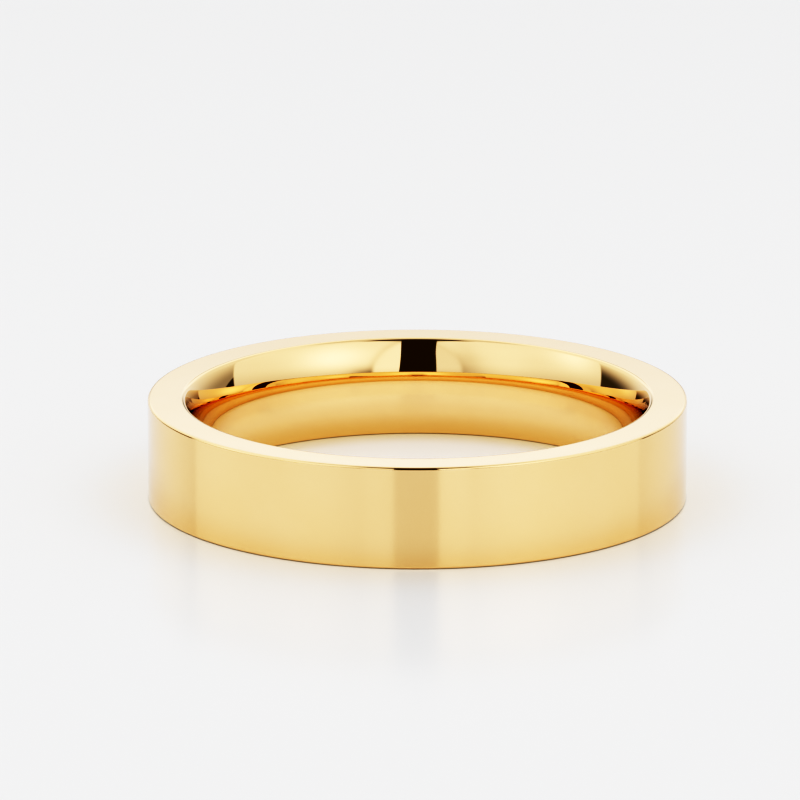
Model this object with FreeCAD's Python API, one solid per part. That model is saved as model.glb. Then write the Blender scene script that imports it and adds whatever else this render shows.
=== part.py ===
import FreeCAD, Part
import math
import os

# Plain polished wedding band with a crowned (comfort-fit) bore, lying flat on one side face.
# Millimetres. +Z runs along the bore axis, and the origin is the centre of the lower side face.

RING_SIZE = 54.0  # inner circumference at the tightest part of the bore, as ring sizes are stated
BAND_WIDTH = 4.0  # along the finger, which is the height of the band as it lies
OUTER_RADIUS = 10.55  # straight outer wall
BORE_LAND = 0.3  # straight strip round the middle of the bore
CROWN_RADIUS = 3.5  # arc that opens the bore from the land to each rim
OUTER_EDGE_RADIUS = 0.1  # crisp polished round on the two outer rims
INNER_EDGE_RADIUS = 0.2  # softer round on the two inner rims, where the finger enters

BORE_RADIUS = RING_SIZE / (2.0 * math.pi)
LAND_TOP = BAND_WIDTH / 2.0 + BORE_LAND / 2.0
LAND_BOTTOM = BAND_WIDTH / 2.0 - BORE_LAND / 2.0
CROWN_CENTRE_RADIUS = BORE_RADIUS + CROWN_RADIUS

# The inner rim round touches the side face and the inside of the crown's arc.
RIM_DROP = BAND_WIDTH - INNER_EDGE_RADIUS - LAND_TOP
CENTRE_GAP = CROWN_RADIUS - INNER_EDGE_RADIUS
RIM_CENTRE_RADIUS = CROWN_CENTRE_RADIUS - math.sqrt(CENTRE_GAP**2 - RIM_DROP**2)
FLARE_ANGLE = math.degrees(math.asin(RIM_DROP / CENTRE_GAP))  # how far the wall leans out there

INWARD = 180.0  # direction of the axis in the section, where 0 is outward and 90 is up
UP = 90.0
DOWN = 270.0


def point(radius, height):
    """A point of the section, which is drawn in the XZ plane."""
    return FreeCAD.Vector(radius, 0.0, height)


def arc(centre_radius, centre_height, radius, start, end):
    """Arc of the section from angle `start` to angle `end`, in degrees."""
    through = []
    for angle in (start, (start + end) / 2.0, end):
        turn = math.radians(angle)
        reach = centre_radius + radius * math.cos(turn)
        height = centre_height + radius * math.sin(turn)
        through.append(point(reach, height))
    return Part.Arc(*through).toShape()


def line(start, end):
    """Straight edge of the section."""
    return Part.makeLine(start, end)


def outer_wall():
    """Outer wall with its two rounded rims, from the lower side face to the upper one."""
    edge = OUTER_EDGE_RADIUS
    rim_centre = OUTER_RADIUS - edge
    top = BAND_WIDTH - edge
    return [
        arc(rim_centre, edge, edge, -UP, 0.0),
        line(point(OUTER_RADIUS, edge), point(OUTER_RADIUS, top)),
        arc(rim_centre, top, edge, 0.0, UP),
    ]


def bore_wall():
    """Crowned bore with its two rounded rims, from the upper side face to the lower one."""
    upper_flare = INWARD - FLARE_ANGLE
    lower_flare = INWARD + FLARE_ANGLE
    edge = INNER_EDGE_RADIUS
    return [
        arc(RIM_CENTRE_RADIUS, BAND_WIDTH - edge, edge, UP, upper_flare),
        arc(CROWN_CENTRE_RADIUS, LAND_TOP, CROWN_RADIUS, upper_flare, INWARD),
        line(point(BORE_RADIUS, LAND_TOP), point(BORE_RADIUS, LAND_BOTTOM)),
        arc(CROWN_CENTRE_RADIUS, LAND_BOTTOM, CROWN_RADIUS, INWARD, lower_flare),
        arc(RIM_CENTRE_RADIUS, edge, edge, lower_flare, DOWN),
    ]


def side_face(height):
    """Flat side of the band, as the straight edge that it is in the section."""
    outside = point(OUTER_RADIUS - OUTER_EDGE_RADIUS, height)
    return line(outside, point(RIM_CENTRE_RADIUS, height))


def band():
    """The whole ring: one piece of metal, turned from its section."""
    edges = outer_wall() + [side_face(BAND_WIDTH)] + bore_wall() + [side_face(0.0)]
    section = Part.Face(Part.Wire(Part.__sortEdges__(edges)))
    axis_point = FreeCAD.Vector(0.0, 0.0, 0.0)
    axis = FreeCAD.Vector(0.0, 0.0, 1.0)
    return section.revolve(axis_point, axis, 360.0)


os.makedirs("parts", exist_ok=True)
band().exportStep("parts/band.step")
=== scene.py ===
import math

import bpy
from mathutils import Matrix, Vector


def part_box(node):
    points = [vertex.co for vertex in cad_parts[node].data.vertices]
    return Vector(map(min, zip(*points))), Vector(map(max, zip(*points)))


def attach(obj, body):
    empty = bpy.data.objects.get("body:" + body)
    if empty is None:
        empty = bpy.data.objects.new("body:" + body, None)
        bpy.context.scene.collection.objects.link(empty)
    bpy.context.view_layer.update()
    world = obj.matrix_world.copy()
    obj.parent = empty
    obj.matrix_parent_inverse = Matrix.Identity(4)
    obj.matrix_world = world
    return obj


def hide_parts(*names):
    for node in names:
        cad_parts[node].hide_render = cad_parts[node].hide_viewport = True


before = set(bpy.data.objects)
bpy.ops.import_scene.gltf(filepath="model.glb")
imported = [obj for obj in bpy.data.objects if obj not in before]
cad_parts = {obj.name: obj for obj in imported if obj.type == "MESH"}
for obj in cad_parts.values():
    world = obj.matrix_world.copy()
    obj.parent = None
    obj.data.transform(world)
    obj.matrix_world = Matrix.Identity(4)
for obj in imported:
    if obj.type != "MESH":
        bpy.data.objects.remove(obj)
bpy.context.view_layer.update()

# ---------------------------------------------------------------- sizes, in metres
LOW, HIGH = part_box("band")
WIDTH = HIGH.z - LOW.z
OUTER_RADIUS = (HIGH.x - LOW.x) / 2
BORE_RADIUS = 0.054 / (2 * math.pi)  # ring size 54: the inner circumference in millimetres
LAND = 0.0003  # straight strip round the middle of the bore
CROWN_RADIUS = 0.0035
OUTER_EDGE = 0.0001  # radius of the round on each outer rim
INNER_EDGE = 0.0002
FACE_MIDDLE = 0.009843  # radius half way across each flat side face
FACE_HALF = 0.000607

SEGMENTS = 640  # round the ring
EDGE_STEPS = 10  # along each rounded rim
CROWN_STEPS = 30  # along each half of the crowned bore
WALL_STEPS = 6  # up the outer wall
FACE_STEPS = 4  # across each side face
SUPPORT = 0.00001  # loop beside each rim, so that shading on the flats stays flat

FLOOR_HALF = 20.0
FLOOR_GAP = 0.000002  # the lower side face and the floor must not share a plane

# ---------------------------------------------------------------- the camera
CAMERA_PITCH = 15.27  # degrees below the horizontal
CAMERA_DISTANCE = 0.3017
CAMERA_SENSOR = 36.0  # millimetres, as is the lens
CAMERA_LENS = 346.6
CAMERA_NEAR, CAMERA_FAR = 0.01, 100.0
AIM_LEFT = 0.00068  # how far the picture's centre is from the ring's
AIM_UP = 0.00178
GLOSSY_BOUNCES = 12  # the bore shows reflections of its own reflections
ALL_BOUNCES = 16

# ---------------------------------------------------------------- tone
TONE_TOP = 1.10  # what the curve rises to
TONE_MIDDLE = 0.59  # scene value that is shown at half of that
TONE_CONTRAST = 3.3
TONE_RANGE = 2.0  # scene value at the curve's right end
TONE_POINTS = 20

# ---------------------------------------------------------------- the light tent
# Levels are shares of a plain white panel, and angles are in degrees. Turn is 0 towards the camera
# and positive to its right, side is the same without its sign, and rise is height above the
# horizon. A ramp is (start, end, level at the start, level at the end), or only the first two where
# it goes from 0 to 1. A pair of levels is the left side's and the right side's.
WHITE = (1.0, 1.0, 1.0, 1.0)
DARKEST = 0.12  # the opening and the hole in the roof
HALVES = (-1.0, 1.0)  # ramp over turn, from the left half to the right half

PANEL_FADE = (-2.0, 20.0, 0.74, 0.98)  # over rise
PANEL_LIFT = (18.0, 34.0, 0.0, 0.06)  # over rise, and added to it
PANEL_SPOTS = (  # turn, rise, half width, half height, gain
    (45.0, 23.0, 21.0, 15.0, 0.38),  # lamp behind the right panel
    (-92.0, 28.0, 14.0, 12.0, 0.26),  # lamp behind the left panel
    (-48.0, 12.0, 14.0, 22.0, 0.09),
    (-26.0, 14.0, 8.0, 26.0, -0.16),  # shade on the card's left side
    (27.0, 1.0, 8.0, 8.0, -0.42),
)
PANEL_EDGE = (108.3, 109.7)  # over side

CARD_RISE = 4.0  # of its middle
CARD_HALF_WIDTH, CARD_HALF_HEIGHT = 23.5, 43.0
CARD_LEVELS = (0.92, 1.14)
CARD_FADE = (-4.0, 12.0, 0.78, 1.0)  # over rise
CARD_EDGE = (0.93, 1.05)  # over reach, which is 1 on the card's outline
CARD_RIM, CARD_RIM_WIDTH = 1.03, 0.10  # reach of the darker line round the card
CARD_RIM_DEPTHS = (0.06, 0.10)

SWEEP_LEVELS = (1.03, 0.93)
BACK_START = (135.0, 165.0)  # over side
BACK_FADE = (13.9, 15.9, 1.0, 1.27)  # over rise
BAR_SIDE = (167.0, 176.0, 0.0, 0.6)  # over side: how much darker the two bars behind are
UNDER_BAR = ((3.0, 9.0), (13.6, 11.0))  # over rise: from its lower edge, and from its upper one
OVER_BAR = ((17.0, 21.0), (34.0, 24.0))

GAP_SIDE = 109.0  # where the gap starts
GAP_TOP, GAP_SLOPE = 28.0, -0.55  # rise of its top there, and how it changes with side
GAP_DEPTH = (0.0, 16.0)  # over the drop below that top
GAP_LEVELS = (0.17, 0.45)
NOTCH_TOP = 12.5  # rise of the dark corner at the right gap's foot, where the gap starts
NOTCH_EDGE = (0.0, 1.5)  # over the drop below the corner's top

ROOF_START = (42.0, 56.0)  # over rise
ROOF_LEVEL = 1.04
ROOF_FADE = (60.0, 68.0, 1.0, 0.75)  # over rise
HOLE_RISE = 64.0  # of the hole in the roof, straight above the opening
HOLE_EDGE = (14.0, 23.0)  # over the angle from its middle

OPENING_RISE = 25.0  # where the opening is narrowest
OPENING_LEFT, OPENING_RIGHT = -9.9, 8.9  # turn of its sides there
OPENING_FLARE_LEFT, OPENING_FLARE_RIGHT = -0.0043, 0.0015  # for each squared degree of rise
OPENING_EDGE = (-0.2, 0.2)  # over the turn past each of its sides

# ---------------------------------------------------------------- the gold
GOLD_DEEP = (0.945, 0.733, 0.472, 1.0)
GOLD_PALE = (0.957, 0.747, 0.488, 1.0)
GOLD_EDGE = (0.90, 0.93, 1.0, 1.0)  # seen along the surface, it is less red
GOLD_BLEND = (0.25, 0.75)  # over the haze's noise

# Noise as grains a metre, along the band and across it. The ramps below are over these noises.
HAZE_GRAIN = (350.0, 350.0)
LINE_GRAIN = (90.0, 16000.0)
MARK_GRAIN = (500.0, 9000.0)
WAVE_GRAIN = (700.0, 700.0)
WEAR_GRAIN = (1500.0, 1500.0)

HAZE_ROUGHNESS = (0.3, 0.7, 0.018, 0.034)
MARK_SHARE = (0.70, 0.78)  # only the peaks are wipe marks
MARK_ROUGHNESS = 0.05
WEAR_SHARE = (0.35, 0.65)
WEAR_ROUGHNESS = 0.05
WEAR_DROPS = (0.0003, 0.00005)  # below a side face: where wear starts, and where it is full
WEAR_EDGE = (0.0003, 0.0001)  # ramp over the distance from a side face's edge
LINE_RELIEF, MARK_RELIEF, WAVE_RELIEF = 0.35, -0.6, 0.8
RELIEF_DEPTH = 0.00000008

# ---------------------------------------------------------------- the floor
# Painted light: the floor glows to lift it and keep its shade faint. The matt colour is bluish
# against the warm glow, so the floor reads neutral where it is fully lit and warm where it is
# shaded.
FLOOR_MATT = (0.427, 0.537, 0.616, 1.0)
FLOOR_PAINTED_GLOW = (0.538, 0.441, 0.375, 1.0)
# Painted light: the glow is warmer round the ring's foot and inside the ring, in place of the light
# the gold throws on the floor.
FOOT_PAINTED_WARM_LIGHT = (0.556, 0.427, 0.322, 1.0)  # painted warm light close to the ring
HOLLOW_PAINTED_WARM_LIGHT = (0.600, 0.492, 0.418, 1.0)  # painted warm light inside the ring
HOLLOW_FOOT_PAINTED_WARM_LIGHT = (0.520, 0.385, 0.240, 1.0)
FLOOR_ROUGHNESS = 0.21
FLOOR_IOR = 1.25

# Ramps over the distance from where the ring touches the floor. The two shades are painted shadow:
# they dim the glow under the ring and a little round its foot.
CONTACT_SHADE = (0.00003, 0.00014, 0.3, 1.0)
FOOT_SHADE = (0.0, 0.005, 0.92, 1.0)
# How far the painted warm light reaches, outside the ring and inside it.
FOOT_REACH = (0.0003, 0.0035, 1.0, 0.0)
HOLLOW_REACH = (0.0002, 0.0018, 1.0, 0.0)


# ---------------------------------------------------------------- meshes
def arc(centre_r, centre_z, radius, start, end, steps):
    """Points of a section arc, with angles in degrees: 0 is outward and 90 is up."""
    out = []
    for i in range(steps + 1):
        a = math.radians(start + (end - start) * i / steps)
        out.append((centre_r + radius * math.cos(a), centre_z + radius * math.sin(a)))
    return out


def straight(start, end, steps):
    """Points strictly between two section points, with one support point close to each."""
    length = math.dist(start, end)
    edge = SUPPORT / length
    shares = [edge] + [i / steps for i in range(1, steps)] + [1 - edge]
    return [tuple(a + (b - a) * t for a, b in zip(start, end)) for t in shares]


def section():
    """Closed outline of the band's section as (radius, height), without a repeated point."""
    land_top, land_low = WIDTH / 2 + LAND / 2, WIDTH / 2 - LAND / 2
    crown_centre = BORE_RADIUS + CROWN_RADIUS
    drop, gap = WIDTH - INNER_EDGE - land_top, CROWN_RADIUS - INNER_EDGE
    inner = crown_centre - math.sqrt(gap * gap - drop * drop)
    flare = math.degrees(math.asin(drop / gap))
    outer = OUTER_RADIUS - OUTER_EDGE
    low_outer = arc(outer, OUTER_EDGE, OUTER_EDGE, -90, 0, EDGE_STEPS)
    top_outer = arc(outer, WIDTH - OUTER_EDGE, OUTER_EDGE, 0, 90, EDGE_STEPS)
    top_inner = arc(inner, WIDTH - INNER_EDGE, INNER_EDGE, 90, 180 - flare, EDGE_STEPS)
    top_crown = arc(crown_centre, land_top, CROWN_RADIUS, 180 - flare, 180, CROWN_STEPS)
    low_crown = arc(crown_centre, land_low, CROWN_RADIUS, 180, 180 + flare, CROWN_STEPS)
    low_inner = arc(inner, INNER_EDGE, INNER_EDGE, 180 + flare, 270, EDGE_STEPS)
    outline = low_outer + straight(low_outer[-1], top_outer[0], WALL_STEPS) + top_outer
    outline += straight(top_outer[-1], top_inner[0], FACE_STEPS) + top_inner
    outline += top_crown[1:] + low_crown + low_inner[1:]
    return outline + straight(low_inner[-1], low_outer[0], FACE_STEPS)


def add_mesh(name, points, faces):
    """A new object with this mesh, linked to the scene."""
    mesh = bpy.data.meshes.new(name)
    mesh.from_pydata(points, [], faces)
    piece = bpy.data.objects.new(name, mesh)
    bpy.context.scene.collection.objects.link(piece)
    return piece


def turned(name, outline, segments):
    """A closed smooth mesh made by turning an outline about the Z axis."""
    count = len(outline)
    points, faces = [], []
    for j in range(segments):
        a = 2 * math.pi * j / segments
        points += [(r * math.cos(a), r * math.sin(a), LOW.z + z) for r, z in outline]
    for j in range(segments):
        k = (j + 1) % segments
        for i in range(count):
            m = (i + 1) % count
            faces.append((j * count + i, k * count + i, k * count + m, j * count + m))
    piece = add_mesh(name, points, faces)
    piece.data.shade_smooth()
    return piece


def sheet(name, half, height):
    """A square that faces up, centred on the Z axis."""
    corners = ((-half, -half), (half, -half), (half, half), (-half, half))
    return add_mesh(name, [(x, y, height) for x, y in corners], [(0, 1, 2, 3)])


# ---------------------------------------------------------------- nodes
class Nodes:
    """Short ways to build a node tree. Each method but add returns the output socket."""

    def __init__(self, tree):
        self.tree = tree
        tree.nodes.clear()

    def add(self, kind, inputs=None, **settings):
        """A new node. Its inputs are values, or sockets to link to it."""
        node = self.tree.nodes.new(kind)
        for key, value in settings.items():
            setattr(node, key, value)
        for key, value in (inputs or {}).items():
            if isinstance(value, bpy.types.NodeSocket):
                self.tree.links.new(value, node.inputs[key])
            else:
                node.inputs[key].default_value = value
        return node

    def math(self, operation, *values):
        return self.add("ShaderNodeMath", dict(enumerate(values)), operation=operation).outputs[0]

    def plus(self, a, b):
        return self.math("ADD", a, b)

    def minus(self, a, b):
        return self.math("SUBTRACT", a, b)

    def times(self, a, b):
        return self.math("MULTIPLY", a, b)

    def square(self, a):
        return self.times(a, a)

    def length(self, x, y):
        return self.math("SQRT", self.plus(self.square(x), self.square(y)))

    def unsigned(self, a):
        return self.math("ABSOLUTE", a)

    def ramp(self, value, start, end, low=0.0, high=1.0):
        """low at start and before it, high at end and past it, and an S curve between."""
        inputs = {
            "Value": value, "From Min": start, "From Max": end, "To Min": low, "To Max": high,
        }
        node = self.add("ShaderNodeMapRange", inputs, interpolation_type="SMOOTHSTEP")
        return node.outputs["Result"]

    def bump(self, dx, dy, size_x, size_y):
        """A round soft spot: 1 in the middle, near 0 at twice the sizes."""
        x = self.times(dx, 1 / size_x)
        y = self.times(dy, 1 / size_y)
        r2 = self.plus(self.square(x), self.square(y))
        return self.math("EXPONENT", self.times(r2, -1.0))

    def mix(self, share, a, b):
        """a where share is 0 and b where it is 1."""
        return self.plus(a, self.times(share, self.minus(b, a)))

    def blend(self, share, colour, other):
        """The same for two colours."""
        inputs = {"Factor": share, "A": colour, "B": other}
        return self.add("ShaderNodeMix", inputs, data_type="RGBA").outputs[2]

    def off_face(self, radius):
        """How far a radius is outside the ring's flat side face, and negative inside it."""
        return self.minus(self.unsigned(self.minus(radius, FACE_MIDDLE)), FACE_HALF)


# ---------------------------------------------------------------- tone curve
def tone(value):
    """How bright a scene value is shown, both linear: soft in the shadows and in the lights."""
    share = (value / TONE_MIDDLE) ** TONE_CONTRAST
    return TONE_TOP * share / (1 + share)


def set_tone_curve(view):
    view.view_transform = "Standard"
    view.use_curve_mapping = True
    mapping = view.curve_mapping
    mapping.white_level = (TONE_RANGE, TONE_RANGE, TONE_RANGE)
    mapping.use_clip = False
    combined = mapping.curves[3]
    combined.points[0].location = (0.0, 0.0)
    combined.points[1].location = (1.0, tone(TONE_RANGE))
    for i in range(1, TONE_POINTS):
        share = i / TONE_POINTS
        combined.points.new(share, tone(share * TONE_RANGE))
    mapping.update()


# ---------------------------------------------------------------- light
def build_light():
    """A white light tent as the world: soft panels at the sides, a round card in front with an
    upright opening towards the camera, a gap behind each panel, a sweep behind, and a roof with a
    hole."""
    world = bpy.data.worlds.new("light_tent")
    world.use_nodes = True
    bpy.context.scene.world = world
    n = Nodes(world.node_tree)
    ray = n.add("ShaderNodeTexCoord").outputs["Generated"]
    x, y, z = n.add("ShaderNodeSeparateXYZ", {0: ray}).outputs
    degree = 180 / math.pi
    turn = n.times(n.math("ARCTAN2", x, n.times(y, -1.0)), degree)
    rise = n.times(n.math("ARCSINE", z), degree)
    side = n.unsigned(turn)
    right = n.ramp(turn, *HALVES)

    # Panels: dimmer low down, with a lamp behind each and softer patches.
    panel = n.plus(n.ramp(rise, *PANEL_FADE), n.ramp(rise, *PANEL_LIFT))
    for at_turn, at_rise, wide, high, gain in PANEL_SPOTS:
        glow = n.bump(n.minus(turn, at_turn), n.minus(rise, at_rise), wide, high)
        panel = n.plus(panel, n.times(glow, gain))

    # The card, and a darker line round it.
    across = n.times(turn, 1 / CARD_HALF_WIDTH)
    above = n.times(n.minus(rise, CARD_RISE), 1 / CARD_HALF_HEIGHT)
    reach = n.length(across, above)
    card = n.mix(right, *CARD_LEVELS)
    card = n.times(card, n.ramp(rise, *CARD_FADE))
    panel = n.mix(n.ramp(reach, *CARD_EDGE), card, panel)
    rim = n.bump(n.minus(reach, CARD_RIM), 0.0, CARD_RIM_WIDTH, 1.0)
    panel = n.minus(panel, n.times(rim, n.mix(right, *CARD_RIM_DEPTHS)))

    # The sweep. Its middle is the back wall, with a soft dark bar low down and another higher up.
    back = n.ramp(rise, *BACK_FADE)
    sweep = n.mix(n.ramp(side, *BACK_START), n.mix(right, *SWEEP_LEVELS), back)
    under = n.times(n.ramp(rise, *UNDER_BAR[0]), n.ramp(rise, *UNDER_BAR[1]))
    over = n.times(n.ramp(rise, *OVER_BAR[0]), n.ramp(rise, *OVER_BAR[1]))
    sweep = n.minus(sweep, n.times(n.plus(under, over), n.ramp(side, *BAR_SIDE)))

    # Behind each side panel: a gap whose top slopes down towards the back.
    beyond = n.minus(side, GAP_SIDE)
    gap_top = n.plus(GAP_TOP, n.times(beyond, GAP_SLOPE))
    depth = n.ramp(n.minus(gap_top, rise), *GAP_DEPTH)
    notch_drop = n.minus(n.minus(NOTCH_TOP, beyond), rise)
    notch = n.times(n.ramp(notch_drop, *NOTCH_EDGE), right)
    shade = n.mix(notch, n.mix(right, *GAP_LEVELS), DARKEST)
    level = n.mix(n.ramp(side, *PANEL_EDGE), panel, n.mix(depth, sweep, shade))

    # Overhead everything is even, apart from the hole.
    level = n.mix(n.ramp(rise, *ROOF_START), level, ROOF_LEVEL)
    tilt = math.radians(HOLE_RISE)
    towards = (0.0, -math.cos(tilt), math.sin(tilt))
    dot = n.add("ShaderNodeVectorMath", {0: ray, 1: towards}, operation="DOT_PRODUCT")
    off_hole = n.times(n.math("ARCCOSINE", dot.outputs["Value"]), degree)
    level = n.times(level, n.ramp(rise, *ROOF_FADE))
    level = n.mix(n.ramp(off_hole, *HOLE_EDGE), DARKEST, level)

    # The opening, which runs up into the hole and widens a little on its way.
    off_middle = n.minus(rise, OPENING_RISE)
    upper = n.math("MAXIMUM", off_middle, 0.0)
    left_edge = n.plus(n.times(n.square(upper), OPENING_FLARE_LEFT), OPENING_LEFT)
    right_edge = n.plus(n.times(n.square(off_middle), OPENING_FLARE_RIGHT), OPENING_RIGHT)
    opening = n.ramp(n.minus(turn, left_edge), *OPENING_EDGE)
    opening = n.times(opening, n.ramp(n.minus(right_edge, turn), *OPENING_EDGE))
    opening = n.times(opening, n.math("LESS_THAN", rise, HOLE_RISE))
    level = n.mix(opening, level, DARKEST)
    background = n.add("ShaderNodeBackground", {"Color": WHITE, "Strength": level})
    n.add("ShaderNodeOutputWorld", {"Surface": background.outputs[0]})


# ---------------------------------------------------------------- materials
def gold():
    """Polished 18 carat gold: fine turning lines, a faint polishing haze and worn rims."""
    material = bpy.data.materials.new("polished_gold")
    material.use_nodes = True
    n = Nodes(material.node_tree)
    place = n.add("ShaderNodeTexCoord").outputs["Object"]
    x, y, z = n.add("ShaderNodeSeparateXYZ", {0: place}).outputs
    radius = n.length(x, y)
    across = n.plus(z, radius)  # changes across every face of the band, and not along it

    def noise(grain, detail=2.0):
        """Noise with this many grains a metre along the band and across it."""
        along, over = grain
        where = n.add("ShaderNodeCombineXYZ", {
            0: n.times(x, along), 1: n.times(y, along), 2: n.times(across, over),
        }).outputs[0]
        return n.add("ShaderNodeTexNoise", {
            "Vector": where, "Scale": 1.0, "Detail": detail, "Roughness": 0.5,
        }).outputs["Fac"]

    haze = noise(HAZE_GRAIN, detail=3.0)
    lines = noise(LINE_GRAIN)
    marks = n.ramp(noise(MARK_GRAIN, detail=1.0), *MARK_SHARE)
    height = n.unsigned(n.minus(z, WIDTH / 2))
    at_side = n.ramp(height, *(WIDTH / 2 - drop for drop in WEAR_DROPS))
    rims = n.times(at_side, n.ramp(n.unsigned(n.off_face(radius)), *WEAR_EDGE))
    wear = n.times(rims, n.ramp(noise(WEAR_GRAIN), *WEAR_SHARE))

    roughness = n.plus(n.ramp(haze, *HAZE_ROUGHNESS), n.times(wear, WEAR_ROUGHNESS))
    roughness = n.plus(roughness, n.times(marks, MARK_ROUGHNESS))
    relief = n.plus(n.times(lines, LINE_RELIEF), n.times(marks, MARK_RELIEF))
    relief = n.plus(relief, n.times(noise(WAVE_GRAIN), WAVE_RELIEF))
    normal = n.add("ShaderNodeBump", {
        "Height": relief, "Strength": 1.0, "Distance": RELIEF_DEPTH,
    }).outputs["Normal"]
    shader = n.add("ShaderNodeBsdfPrincipled", {
        "Base Color": n.blend(n.ramp(haze, *GOLD_BLEND), GOLD_DEEP, GOLD_PALE),
        "Specular Tint": GOLD_EDGE, "Metallic": 1.0, "Roughness": roughness, "Normal": normal,
    })
    n.add("ShaderNodeOutputMaterial", {"Surface": shader.outputs[0]})
    return material


def floor_material():
    """A pale acrylic sheet, softly glossy. Its glow is painted light that lifts the floor and keeps
    its shade faint. The glow is painted warmer close to the ring and inside it, and dimmed as
    painted shadow where the ring lies on the sheet."""
    material = bpy.data.materials.new("pale_acrylic")
    material.use_nodes = True
    n = Nodes(material.node_tree)
    place = n.add("ShaderNodeTexCoord").outputs["Object"]
    x, y, _ = n.add("ShaderNodeSeparateXYZ", {0: place}).outputs
    radius = n.length(x, y)
    off_foot = n.off_face(radius)
    # Painted shadow: the glow is dimmed where the ring lies on the sheet and a little round its
    # foot.
    strength = n.times(n.ramp(off_foot, *CONTACT_SHADE), n.ramp(off_foot, *FOOT_SHADE))
    inside = n.math("LESS_THAN", radius, FACE_MIDDLE)
    # Painted warm light close to the ring and inside it.
    outer = n.blend(n.ramp(off_foot, *FOOT_REACH), FLOOR_PAINTED_GLOW, FOOT_PAINTED_WARM_LIGHT)
    hollow_painted_light = n.blend(n.ramp(off_foot, *HOLLOW_REACH), HOLLOW_PAINTED_WARM_LIGHT, HOLLOW_FOOT_PAINTED_WARM_LIGHT)
    colour = n.blend(inside, outer, hollow_painted_light)

    # The glow is painted light, added on top of the matt floor.
    matt = n.add("ShaderNodeBsdfDiffuse", {"Color": FLOOR_MATT}).outputs[0]
    glow = n.add("ShaderNodeEmission", {"Color": colour, "Strength": strength}).outputs[0]
    body = n.add("ShaderNodeAddShader", {0: matt, 1: glow}).outputs[0]
    gloss = n.add("ShaderNodeBsdfAnisotropic", {
        "Color": WHITE, "Roughness": FLOOR_ROUGHNESS,
    }).outputs[0]
    share = n.add("ShaderNodeFresnel", {"IOR": FLOOR_IOR}).outputs[0]
    mixed = n.add("ShaderNodeMixShader", {0: share, 1: body, 2: gloss}).outputs[0]
    n.add("ShaderNodeOutputMaterial", {"Surface": mixed})
    return material


# ---------------------------------------------------------------- camera
def add_camera():
    pitch = math.radians(CAMERA_PITCH)
    forward = Vector((0.0, math.cos(pitch), -math.sin(pitch)))
    upward = Vector((0.0, math.sin(pitch), math.cos(pitch)))
    centre = Vector((0.0, 0.0, LOW.z + WIDTH / 2))
    eye = centre - forward * CAMERA_DISTANCE
    aim = centre + Vector((-AIM_LEFT, 0.0, 0.0)) + upward * AIM_UP
    data = bpy.data.cameras.new("camera")
    data.sensor_width = CAMERA_SENSOR
    data.lens = CAMERA_LENS
    data.clip_start = CAMERA_NEAR
    data.clip_end = CAMERA_FAR
    camera = bpy.data.objects.new("camera", data)
    camera.location = eye
    camera.rotation_mode = "QUATERNION"
    camera.rotation_quaternion = (aim - eye).to_track_quat("-Z", "Y")
    bpy.context.scene.collection.objects.link(camera)
    bpy.context.scene.camera = camera


# ---------------------------------------------------------------- the scene
band = turned("polished_band", section(), SEGMENTS)
band.data.materials.append(gold())
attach(band, "root")
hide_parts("band")

floor = sheet("floor", FLOOR_HALF, LOW.z - FLOOR_GAP)
floor.data.materials.append(floor_material())

build_light()
add_camera()
set_tone_curve(bpy.context.scene.view_settings)
bpy.context.scene.cycles.glossy_bounces = GLOSSY_BOUNCES
bpy.context.scene.cycles.max_bounces = ALL_BOUNCES
